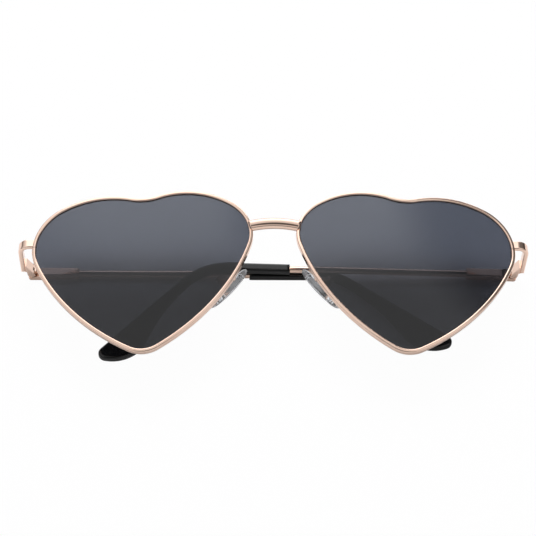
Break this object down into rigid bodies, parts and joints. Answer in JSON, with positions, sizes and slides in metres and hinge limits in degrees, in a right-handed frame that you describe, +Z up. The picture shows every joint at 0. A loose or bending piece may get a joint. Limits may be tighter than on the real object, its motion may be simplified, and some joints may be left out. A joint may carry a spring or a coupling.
{
  "type": "sunglasses",
  "caption": "Folding sunglasses with heart shaped smoke lenses in thin metal rims, sprung hinges, clear nose pads and black covers on the temple tips.",
  "frame": {"origin": "on the table, under the middle of the frame's width, on the line of the folded temples", "axes": "+X along the width towards the right hand side of the picture, +Y up the face towards the brow, +Z up from the table to the fronts of the lenses"},
  "size_m": [0.147, 0.0512, 0.0229],
  "materials": {
    "rose_gold": "polished, plated in pale rose gold",
    "smoke_lens": "polished smoke grey, see-through",
    "black_acetate": "polished black",
    "clear_silicone": "smooth, clear",
    "clear_plastic": "smooth, clear",
    "spring_steel": "drawn wire"
  },
  "bodies": {
    "front": {"bridge": "rose_gold", "rim_lock_screws": "rose_gold", "hinge_screws": "rose_gold", "pad_screws": "rose_gold", "rim_right": "rose_gold", "rim_left": "rose_gold", "lens_right": "smoke_lens", "lens_left": "smoke_lens", "end_piece_right": "rose_gold", "end_piece_left": "rose_gold", "rim_lock_upper_right": "rose_gold", "rim_lock_upper_left": "rose_gold", "rim_lock_lower_right": "rose_gold", "rim_lock_lower_left": "rose_gold", "hinge_leaf_right": "rose_gold", "hinge_leaf_left": "rose_gold", "pad_arm_right": "rose_gold", "pad_arm_left": "rose_gold"},
    "right_hinge_tongue": {"hinge_tongue_right": "rose_gold"},
    "right_temple": {"hinge_box_right": "rose_gold", "temple_wire_right": "rose_gold", "temple_tip_right": "black_acetate", "hinge_spring_right": "spring_steel"},
    "right_nose_pad": {"nose_pad_right": "clear_silicone", "pad_core_right": "clear_plastic"},
    "left_hinge_tongue": {"hinge_tongue_left": "rose_gold"},
    "left_temple": {"hinge_box_left": "rose_gold", "temple_wire_left": "rose_gold", "temple_tip_left": "black_acetate", "hinge_spring_left": "spring_steel"},
    "left_nose_pad": {"nose_pad_left": "clear_silicone", "pad_core_left": "clear_plastic"}
  },
  "joints": [
    {"name": "right_temple_fold", "type": "hinge", "parent": "front", "child": "right_hinge_tongue", "pos_m": [0.0706, 0, 0.0029], "axis": [0, -1, 0], "range_deg": [0, 95.4]},
    {"name": "right_hinge_flex", "type": "slide", "parent": "right_hinge_tongue", "child": "right_temple", "axis": [-0.9991, 0, 0.0419], "range_m": [0, 0.0012], "stiffness_N_per_m": 3000, "springref_m": -0.001, "deforming": ["hinge_spring_right"]},
    {"name": "right_pad_rock", "type": "hinge", "parent": "front", "child": "right_nose_pad", "pos_m": [0.0149, -0.01169, 0.01383], "axis": [0.2142, 0.488, -0.8462], "range_deg": [-8, 8]},
    {"name": "left_temple_fold", "type": "hinge", "parent": "front", "child": "left_hinge_tongue", "pos_m": [-0.0706, 0, 0.0029], "axis": [0, 1, 0], "range_deg": [0, 93]},
    {"name": "left_hinge_flex", "type": "slide", "parent": "left_hinge_tongue", "child": "left_temple", "axis": [1, 0, 0], "range_m": [0, 0.0012], "stiffness_N_per_m": 3000, "springref_m": -0.001, "deforming": ["hinge_spring_left"]},
    {"name": "left_pad_rock", "type": "hinge", "parent": "front", "child": "left_nose_pad", "pos_m": [-0.0149, -0.01169, 0.01383], "axis": [0.2142, -0.488, 0.8462], "range_deg": [-8, 8]}
  ]
}
